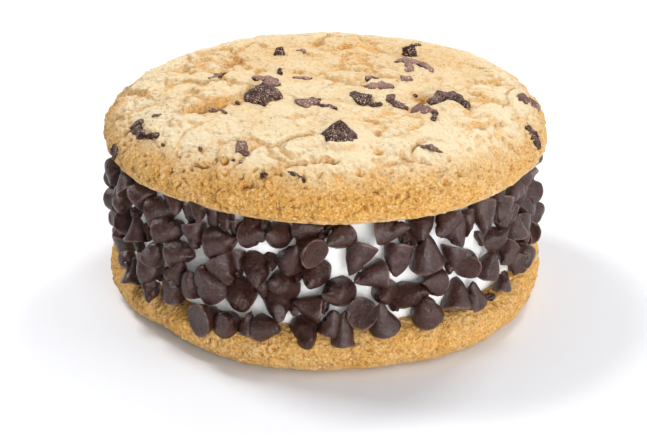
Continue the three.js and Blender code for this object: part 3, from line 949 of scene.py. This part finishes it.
# Chips that were cut or melted in the dough are a few bars each. The others are drops: tilt is how far
# the tip leans from the dough's own upward direction, towards heading, and proud is how far the middle
# of the base stands out of the dough.
bakedChips = dict(
    a=[
        bar(2.1, 1.9, 0.0, (247, 95), (254, 97.5), (262, 98.5), (271, 97.5), (278, 94.5)),
        bar(1.1, 0.5, 0.8, (252, 79.5), (261, 78.5), (270, 79.5), (277, 83)),
        bar(1.3, 0.6, 0.6, (265, 87), (271, 84), (277, 87)),
    ],
    b=[
        bar(2.5, 0.5, 0.6, (301, 107), (306, 104.5), (311, 104), (316, 106)),
        bar(0.45, 0.4, 0.0, (306, 101.5), (312, 99), (322, 101)),
        bar(0.5, 0.4, 0.3, (315, 104), (324, 106), (331, 107), (337, 110)),
    ],
    c=dict(x=2.4, y=-28.6, radius=4.5, height=4.1, tilt=8, heading=95, proud=-1.0, full=0.2),
    d=[
        bar(1.4, 0.7, 0.8, (366, 88), (374, 87), (384, 87), (392, 88.5)),
        bar(1.8, 0.9, 0.0, (354, 94), (359, 97.5), (364, 100.5), (370, 103)),
        bar(0.8, 0.7, 0.0, (366, 103), (374, 105.5), (383, 105)),
        bar(0.8, 0.5, 0.3, (393, 95), (391, 99), (388, 103)),
    ],
    e=[
        bar(0.8, 0.55, 0.2, (390, 101), (397, 105), (404, 107.5), (409, 109)),
        bar(1.6, 0.5, 0.5, (411, 109.5), (419, 110), (428, 110.5), (436, 113)),
        bar(0.8, 0.6, 0.0, (436, 111), (434.5, 117), (433.5, 121.5)),
    ],
    f=[
        bar(1.8, 1.0, 0.1, (434, 105), (437, 99.5), (443, 97), (451, 97), (458, 100)),
        bar(1.7, 1.0, 0.0, (451, 97.5), (458, 101), (464, 105), (470.5, 109)),
    ],
    h=[
        bar(1.4, 2.2, 0.0, (403, 54), (406, 54.5), (410, 55), (413, 54.5), (416, 54)),
        bar(0.5, 0.6, 0.0, (414, 47), (418, 46), (422, 45.5)),
    ],
    i=[
        bar(0.95, 0.6, 0.9, (394, 61.5), (402, 61), (411, 61.5), (420, 64), (427, 67), (432, 72)),
        bar(1.2, 0.5, 0.8, (409, 60), (409, 66), (408.5, 72.5)),
    ],
    j=[bar(1.3, 0.4, 0.8, (400, 79.5), (405, 78.5), (412, 80))],
    k=[bar(0.8, 0.5, 0.7, (365, 79.5), (371, 78.5), (379, 79.5))],
    l=[
        bar(1.0, 0.5, 0.4, (514.5, 96.5), (520, 98), (526, 100), (532, 103.5), (537, 107.5), (539.5, 111)),
    ],
    m=[bar(0.85, 0.6, 0.0, (525, 125), (529, 129.5), (532.5, 135), (536, 142), (539, 150))],
    n=[bar(0.6, 0.5, 0.4, (417, 146), (424, 147), (430, 148.5), (437, 150.5), (443.5, 152))],
    o=[
        bar(1.1, 0.9, 0.0, (144, 122), (138.5, 124.5), (136.5, 129), (139.5, 133.5), (146, 136)),
        bar(0.7, 0.9, 0.0, (142, 135.5), (151, 137), (160, 135.5)),
        bar(0.4, 0.3, 0.6, (151, 118), (156, 115.5), (161, 116)),
    ],
    p=[bar(0.9, 0.45, 0.5, (208.5, 80), (213, 78), (218, 76), (223, 74), (227.5, 73))],
    q=[bar(0.5, 0.4, 0.5, (208, 111), (214, 110.5), (221, 111.5), (228, 113))],
    r=[
        bar(1.4, 0.55, 0.4, (235, 147), (239, 146.5), (244, 149), (248, 152)),
        bar(0.6, 0.5, 0.2, (241, 151.5), (245, 153.5), (250, 153)),
    ],
    s=[
        bar(1.1, 1.5, 0.0, (274.5, 54), (278, 54.5), (281, 54.5), (285, 54)),
        bar(0.5, 0.4, 0.0, (279, 69), (280, 72), (281.5, 75)),
    ],
    t=[bar(0.5, 0.35, 0.8, (296.5, 50.5), (302, 51), (308, 53.5))],
    u=[bar(0.6, 0.35, 0.7, (293, 78), (300, 78), (307, 78.5), (313, 79))],
    v=[
        bar(0.6, 0.35, 0.0, (258, 176), (263, 175), (270, 173.5)),
        bar(0.45, 0.35, 0.0, (286, 171.5), (292, 173), (297, 175.5), (302, 179), (306, 182.5)),
    ],
    w=[bar(1.3, 0.6, 0.0, (112.5, 147), (115, 151), (117, 157))],
    x=dict(x=22.6, y=39.2, z=35.4, radius=2.8, height=4.4, tilt=98, heading=240),
    y=dict(x=-15.4, y=41.4, z=35.2, radius=2.9, height=4.4, tilt=96, heading=290),
    z=dict(x=-38.6, y=21.8, z=35.4, radius=2.6, height=4.2, tilt=98, heading=331),
)


def barPoints(wide, rise, pale, seen, seed):
    sectors = int(13 + 5 * wide)
    places, ways = (np.array(each) for each in zip(*[onDough(*spot) for spot in seen]))
    along = np.concatenate([[0], np.cumsum(np.linalg.norm(np.diff(places, axis=0), axis=1))])
    stops = np.linspace(0, along[-1], max(8, int(along[-1] / 0.3)))
    places = np.stack([np.interp(stops, along, places[:, k]) for k in range(3)], axis=1)
    ways = np.stack([np.interp(stops, along, ways[:, k]) for k in range(3)], axis=1)
    runs = np.gradient(places, axis=0)
    sides = np.cross(ways, runs)
    sides /= np.linalg.norm(sides, axis=1)[:, None]
    share = stops / along[-1]
    taper = (1 - np.abs(2 * share - 1) ** (2.5 + wide)) ** 0.5
    uneven = 1 + 0.7 * wobble(places, 2.2, seed)
    points = [places[0]]
    for k in range(1, len(stops) - 1):
        for sector in range(sectors):
            turn = 2 * math.pi * sector / sectors
            across = math.cos(turn) * wide * taper[k] * uneven[k]
            up = math.sin(turn) * (rise if math.sin(turn) > 0 else 0.9) * taper[k]
            points.append(places[k] + sides[k] * across + ways[k] * up)
    points.append(places[-1])
    points = np.array(points)
    size = 0.35 + 0.3 * wide
    points += (0.3 + 0.15 * wide) * drift(points, 2 * size, seed, 13.0)
    points += 0.18 * drift(points, 0.7 * size, seed, 19.0)
    rings = len(stops) - 2
    # painted shade along each bar's lower side and at its ends, where it meets the dough
    rounds = np.tile(np.sin(np.arange(sectors) * 2 * math.pi / sectors), rings)
    sunk = np.concatenate([[1], smoothStep(rounds, 0.6, 0.1), [1]])
    return points, tubeFaces(rings, sectors), {"pale": np.full(len(points), pale), "sunk": sunk}


def joined(parts):
    # several meshes and their marks as one
    allPoints, allFaces, start = [], [], 0
    for points, faces, marks in parts:
        allPoints.append(points)
        allFaces += [tuple(start + int(i) for i in face) for face in faces]
        start += len(points)
    together = {key: np.concatenate([marks[key] for _, _, marks in parts]) for key in parts[0][2]}
    return np.concatenate(allPoints), allFaces, together


def placedDrop(chip, number):
    shape = dict(sectors=40, full=chip.get("full", 0.8), lumpy=0.9, knocks=0, seed=number * 3.7)
    points, faces, marks = dropPoints(chip["radius"], chip["height"], **shape)
    lean, heading = math.radians(chip["tilt"]), math.radians(chip["heading"])
    x, y = chip["x"], chip["y"]
    flat = Vector((math.cos(heading), math.sin(heading), 0))
    up = Vector((0, 0, 1)) if "z" in chip else steepness(x, y)
    middle = Vector((x, y, chip["z"] if "z" in chip else doughLevel(x, y))) + up * chip.get("proud", 0)
    points = turnedTo(points, math.cos(lean) * up + math.sin(lean) * flat, number) + np.array(middle)
    return points, faces, marks


def buildBakedChips():
    for number, (letter, chip) in enumerate(bakedChips.items()):
        if isinstance(chip, list):
            bars = [barPoints(**one, seed=number + 5.3 * k) for k, one in enumerate(chip)]
            points, faces, marks = joined(bars)
        else:
            points, faces, marks = placedDrop(chip, number)
        piece = makePiece("bakedChip" + letter.upper(), points, faces, bakedChipLook, marks)
        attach(piece, "root")
        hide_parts("baked_chip_" + letter)


buildBakedChips()
print("baked chips made")

flecks = dict(
    radius=(0.3, 0.5),
    sunk=0.15,
    seen=[  # where bits of broken chip show in the top cookie
        (314, 218.7), (237, 102), (281, 73), (235, 161), (241, 162), (412, 99), (416, 96),
        (163, 145.4), (199, 149),
    ],
    seed=5,
)


def buildFlecks():
    draw = random.Random(flecks["seed"])
    parts = []
    for number, spot in enumerate(flecks["seen"]):
        size = draw.uniform(*flecks["radius"])
        shape = dict(full=1.0, lumpy=0.5 * size, knocks=1, seed=number)
        points, faces, marks = dropPoints(size, 2 * size, 11, **shape)
        place, way = onDough(*spot)
        points = turnedTo(points, [draw.uniform(-1, 1) for k in range(3)], 0) + place
        parts.append((points - flecks["sunk"] * way, faces, marks))
    piece = makePiece("chocolateFlecks", *joined(parts)[:2], bakedChipLook, {})
    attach(piece, "root")


buildFlecks()
print("flecks made")

small = dict(
    radius=3.2,
    height=7.0,
    middle=0.42,  # of the height
    shownSectors=25,
    hiddenSectors=18,
    farTurn=(-24, 204),  # degrees between which chips are strewn on the far side
    farLevel=(11.9, 28.8),
    farReach=42.4,
    trials=140,  # for each of those
    leans=[-40, -20, -5, 0, 5, 10, 25, 50],  # of a tip from the side, in degrees
    apart=3.8,  # between the middles of chips on the far side
    outermost=45.6,  # how far from the axis the chips reach
    embedded=0.7,  # least depth in the ice cream
    seed=7,
)

plainChip = dict(size=1.0, long=1.0, full=0.48, curl=0.0, facing=1, back=0.0, behind=0.0)


def front(base, tip, size, **rest):
    # A chip that faces the camera: where the middle of its base and its tip are seen, and whether the
    # tip (facing 1) or the base (-1) is nearer. Back is how many mm further in it sits than most, and
    # behind is how many degrees further round the side.
    return dict(plainChip, base=base, tip=tip, size=size, **rest)


shownChips = [
    front((117, 163), (116, 190), 0.9, full=0.8), front((131, 168), (129, 187), 0.7, back=1.5),
    front((103, 187), (119, 190), 0.8, back=-1.3, behind=7), front((119, 196), (138, 199), 0.6),
    front((135, 198), (159, 186), 0.84, full=0.9),
    front((104, 204), (120, 208), 0.85, back=-1.3, behind=4),
    front((115, 219), (120, 209), 0.78, curl=0.3, back=-0.6),
    front((137, 213), (131, 208), 0.4, curl=0.3, back=-0.5),
    front((150, 212), (184, 208), 0.93, long=1.15, full=1.1, back=0.5),
    front((157, 230), (188, 230), 0.9, long=1.1, full=1.1),
    front((137, 239), (137, 213), 0.88, long=0.92, full=0.2),
    front((119, 228), (122, 250), 0.78, full=0.9, back=0.2),
    front((194, 221), (197, 253), 0.75, full=1.0),
    front((172, 253), (196, 253), 0.87, full=0.8, curl=0.2, back=-0.4),
    front((152, 258), (158, 243), 0.76, full=0.9, curl=0.2, back=-1.0),
    front((150, 252), (151, 301), 0.86, long=1.5, back=-0.7, full=1.1),
    front((131, 284), (135, 257), 0.78, full=0.2, back=-2.6),
    front((126, 257), (128, 270), 0.56, full=0.9, back=-2.6), front((175, 276), (183, 261), 0.8),
    front((173, 294), (173, 275), 0.82, full=1.0),
    front((151, 284), (149, 302), 0.6, full=0.9, back=-2.2),
    front((193, 289), (191, 272), 0.8, full=0.9), front((217, 291), (200, 268), 1.05, full=0.9),
    front((214, 242), (238, 241), 1.0), front((219, 258), (231, 286), 0.92),
    front((247, 234), (266, 237), 0.82), front((236, 218), (236, 241), 0.5),
    front((279, 234), (269, 239), 0.9, curl=0.3), front((256, 264), (257, 284), 0.95),
    front((285, 284), (272, 287), 1.0, curl=0.3), front((278, 298), (280, 320), 0.92, back=1),
    front((241, 291), (243, 312), 1.05, curl=0.25),
    front((199, 320), (221, 314), 1.02, long=0.85, facing=-1, back=-1.8),
    front((227, 325), (220, 319), 0.9, curl=0.3, back=-1.8),
    front((248, 332), (249, 307), 0.58, long=1.4, back=-2.2),
    front((261, 328), (281, 327), 0.86, back=-1.8), front((314, 253), (298, 236), 0.95, facing=-1),
    front((290, 262), (296, 247), 0.85, back=1), front((316, 270), (312, 288), 0.95, curl=0.3),
    front((340, 291), (328, 301), 1.0, curl=0.3), front((347, 234), (328, 244), 0.85),
    front((363, 243), (349, 276), 0.96), front((321, 309), (291, 304), 0.87, facing=-1),
    front((306, 329), (306, 345), 1.05, back=-2.0),
    front((343, 343), (343, 312), 0.76, long=1.25, back=-2.2),
    front((330, 330), (334, 310), 0.75, back=-1.2),
    front((361.5, 313), (371, 310), 0.98, facing=-1, back=-0.8), front((329, 222), (328, 232), 0.5),
    front((380, 231), (408, 228), 0.88), front((419, 216), (422, 238), 0.95),
    front((399, 245), (397, 275), 0.88, full=0.9), front((427, 264), (424, 233), 1.1),
    front((450, 215), (438, 235), 0.88), front((467, 212), (469, 237), 0.6, long=1.3, full=0.9),
    front((453, 229), (441, 239), 0.5), front((455, 246), (449, 276), 0.8),
    front((467, 267), (468, 249), 0.85, facing=-1), front((482, 205), (486, 234), 0.95, full=0.3),
    front((488, 239), (512, 232), 0.85), front((503, 194), (500, 225), 0.76),
    front((510, 206), (507, 225), 0.62), front((518, 187), (518, 207), 0.6),
    front((530, 193), (524, 181), 0.85, facing=-1), front((528, 233), (533, 222), 0.85, facing=-1),
    front((537, 209), (534, 226), 0.75, back=-1.0), front((509, 248), (503, 266), 0.8),
    front((518, 250), (512, 280), 0.68, full=0.9, back=-1.8),
    front((525, 249), (517, 272), 0.8, full=0.9, back=-1.8),
    front((487, 274), (491, 252), 0.8, full=0.8),
    front((502, 291), (505, 266), 0.6, long=1.2, back=-1.8),
    front((475, 303), (472, 281), 0.82, full=0.3),
    front((490, 297), (486, 294), 0.3, curl=0.3, back=-2.0),
    front((456, 308), (456, 273), 0.98, full=0.5), front((438, 281), (420, 285), 0.9, full=0.5),
    front((404, 294), (427, 294), 0.98), front((385, 291), (385, 300), 0.88, curl=0.25),
    front((381, 273), (354, 281), 0.93), front((385, 328), (379, 304), 0.95, full=0.3, back=-1.8),
    front((427, 315), (427, 296), 1.03, full=0.2, back=-1.2),
    front((543, 160), (533, 178), 0.8, behind=4), front((529, 174), (528, 189), 0.55),
    front((199, 202), (199, 221), 0.7), front((215, 211), (214, 231), 0.6, back=1.2),
    front((452, 221), (459, 249), 0.9, back=1.3), front((300, 226), (324, 229), 0.85, back=1.5),
    front((272, 257), (270, 270), 0.55, back=1.0), front((237, 250), (238, 273), 0.6, back=1.0),
    front((263, 281), (262, 301), 0.6, back=1.0), front((500, 213), (503, 231), 0.65, back=0.5),
    front((175, 195), (176, 214), 0.7, back=1.0), front((227, 212), (225, 230), 0.7, back=1.0),
    front((192, 207), (191, 225), 0.55, back=1.0), front((324, 300), (325, 313), 0.45, back=0.4),
    front((405, 233), (403, 245), 0.5, back=1.0), front((208, 268), (209, 279), 0.45, back=0.3),
    front((140, 241), (141, 254), 0.5, back=0.5), front((150, 227), (150, 240), 0.5, back=0.8),
    front((393, 300), (396, 312), 0.5, back=0.8), front((512, 188), (508, 203), 0.8, back=1.2),
    front((497, 186), (496, 203), 0.7, back=1.2), front((522, 176), (519, 190), 0.7, back=1.0),
    front((253, 216), (252, 230), 0.62, back=0.8), front((480, 231), (482, 248), 0.5, back=0.3),
    front((323, 230), (320, 240), 0.45, back=0.5), front((159, 269), (160, 281), 0.5, back=0.5),
    front((264, 219), (264, 232), 0.5, back=0.6), front((294, 304), (295, 315), 0.45, back=0.3),
    front((238, 269), (239, 278), 0.42, back=0.3), front((413, 237), (414, 247), 0.42, back=0.4),
    front((492, 251), (491, 259), 0.42, back=0.4), front((297, 273), (298, 281), 0.42, back=0.4),
    front((212, 329), (213, 339), 0.5, back=-1.8),
]


def aimed(chip, height):
    # where the chip's middle is seen, and its three directions with its tip along the last
    base, tip = np.array(chip["base"]), np.array(chip["tip"])
    run = tip - base
    length = np.linalg.norm(run)
    perMm = camera["focalPixels"] / (camera["distance"] + 2)  # pixels
    share = min(1.0, length / (perMm * height))
    run = run / length
    way = share * (run[0] * right - run[1] * upward) + chip["facing"] * math.sqrt(1 - share ** 2) * back
    side = -run[1] * right - run[0] * upward
    return base + small["middle"] * (tip - base), np.stack([side, np.cross(way, side), way])


def buildSmallChips():
    draw = random.Random(small["seed"])
    parts, middles = [], []

    def add(place, directions, chip, sectors):
        # place(reach) gives the chip's middle for its distance from the axis
        radius, height = small["radius"] * chip["size"], small["height"] * chip["size"] * chip["long"]
        shape = dict(full=chip["full"], curl=chip["curl"], groove=draw.choice([0, 0, 0.25, 0.4, 0.5]))
        points, faces, marks = dropPoints(radius, height, sectors, seed=draw.uniform(0, 90), **shape)
        points[:, 2] -= small["middle"] * height
        points = points @ directions
        reach = small["outermost"] - small["radius"]
        for _ in range(4):  # the outward direction changes a little as the chip is moved in or out
            middle = place(reach)
            outward = np.array([middle[0], middle[1], 0]) / math.hypot(middle[0], middle[1])
            beyond = points @ outward
            deepest = cream["radius"] - small["embedded"] - beyond.min()
            reach = min(small["outermost"] - beyond.max(), deepest) - chip["back"]
        middle = place(reach)
        behind = math.radians(chip["behind"]) * math.copysign(1, middle[0])
        turn = np.array(Matrix.Rotation(behind, 3, "Z"))
        parts.append(((points + middle) @ turn.T, faces, marks))
        middles.append(turn @ middle)

    for chip in shownChips:
        spot, directions = aimed(chip, small["height"] * chip["size"] * chip["long"])
        sectors = small["shownSectors"] if chip["size"] > 0.6 else small["hiddenSectors"]
        add(lambda reach: onBarrel(*spot, reach), directions, chip, sectors)
    while True:  # each chip of the far side goes where there is most room
        best, bestApart = None, 0
        for _ in range(small["trials"]):
            turn = math.radians(draw.uniform(*small["farTurn"]))
            level = draw.uniform(*small["farLevel"])
            spot = np.array([math.cos(turn), math.sin(turn), 0]) * small["farReach"] + [0, 0, level]
            apart = min(np.linalg.norm(spot - other) for other in middles)
            if apart > bestApart:
                best, bestApart, bestTurn = spot, apart, turn
        if bestApart < small["apart"]:
            break
        outward = np.array([math.cos(bestTurn), math.sin(bestTurn), 0])
        sideways = np.array([-math.sin(bestTurn), math.cos(bestTurn), 0])
        clockwise, lean = draw.uniform(0, 2 * math.pi), math.radians(draw.choice(small["leans"]))
        flat = math.sin(clockwise) * sideways + math.cos(clockwise) * np.array([0, 0, 1.0])
        way = math.cos(lean) * flat + math.sin(lean) * outward
        side = np.cross(way, [math.cos(clockwise + 1), math.sin(clockwise + 1), 0.4])
        side = side / np.linalg.norm(side)
        chip = dict(
            plainChip,
            size=draw.uniform(0.78, 1.0),
            long=draw.uniform(0.9, 1.15),
            full=draw.choice([0.2, 0.5, 0.7, 0.95]),
            curl=draw.choice([0, 0, 0, 0.25, 0.35]),
            back=1.6 * smoothStep(outward[0], 0.8, 0.95),
        )
        add(lambda reach: np.array([outward[0] * reach, outward[1] * reach, best[2]]),
            np.stack([side, np.cross(way, side), way]), chip, small["hiddenSectors"])
    points, faces, marks = joined(parts)
    piece = makePiece("smallChips", points, faces, smallChipLook, marks)
    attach(piece, "root")
    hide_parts("small_chips")
    return len(parts), len(faces)


print("small chips and triangles", *buildSmallChips())

stage = dict(
    floorSize=4000.0,
    floorColours=(seen(232, 233, 237), seen(230, 231, 235)),
    skyDim=0.08,
    skyBright=0.62,
    skySpread=0.7,  # how gently the one goes over into the other
    brightSide=(0.6, 0.55, 0.55),  # where the sky is brightest
    aim=(0, 0, 22),
    lamps=dict(  # place, size and power of each soft box
        backRight=((300, 440, 600), 200, 2.2),
        backLeft=((-360, 250, 590), 240, 3.9),
        right=((560, -160, 300), 420, 1.2),
        frontLow=((180, -600, 150), 280, 2.9),
    ),
)


def areaLamp(name, at, size, power):
    data = bpy.data.lights.new(name, "AREA")
    data.size = size * mm
    data.energy = power
    item = bpy.data.objects.new(name, data)
    item.location = Vector(at) * mm
    item.rotation_mode = "QUATERNION"
    item.rotation_quaternion = (Vector(stage["aim"]) - Vector(at)).to_track_quat("-Z", "Y")
    bpy.context.scene.collection.objects.link(item)


def buildStage():
    half = stage["floorSize"] / 2
    paint = Paint("pale table")
    colour = paint.mix(paint.noise(120.0, 2.0), *stage["floorColours"])
    material = paint.finish({"Base Color": colour, "Roughness": 0.6, "Specular IOR Level": 0.2})
    corners = [(-half, -half, 0), (half, -half, 0), (half, half, 0), (-half, half, 0)]
    floor = makePiece("table", corners, [(0, 1, 2, 3)], material, {})
    sky = Paint("studio", bpy.data.worlds, "Generated")
    sockets = {0: sky.place, 1: Vector(stage["brightSide"]).normalized()}
    facing = sky.node("ShaderNodeVectorMath", {"operation": "DOT_PRODUCT"}, sockets, "Value")
    sockets = {"Value": facing, "From Min": -stage["skySpread"], "From Max": stage["skySpread"]}
    sockets.update({"To Min": stage["skyDim"], "To Max": stage["skyBright"]})
    level = sky.node("ShaderNodeMapRange", {}, sockets)
    background = sky.node("ShaderNodeBackground", {}, {"Color": (1.0, 1.0, 1.0), "Strength": level})
    sky.node("ShaderNodeOutputWorld", {}, {"Surface": background})
    bpy.context.scene.world = sky.owner
    for name, (at, size, power) in stage["lamps"].items():
        areaLamp(name, at, size, power)
    bpy.context.scene.view_settings.view_transform = "Standard"
    bpy.context.scene.view_settings.look = "None"


buildStage()
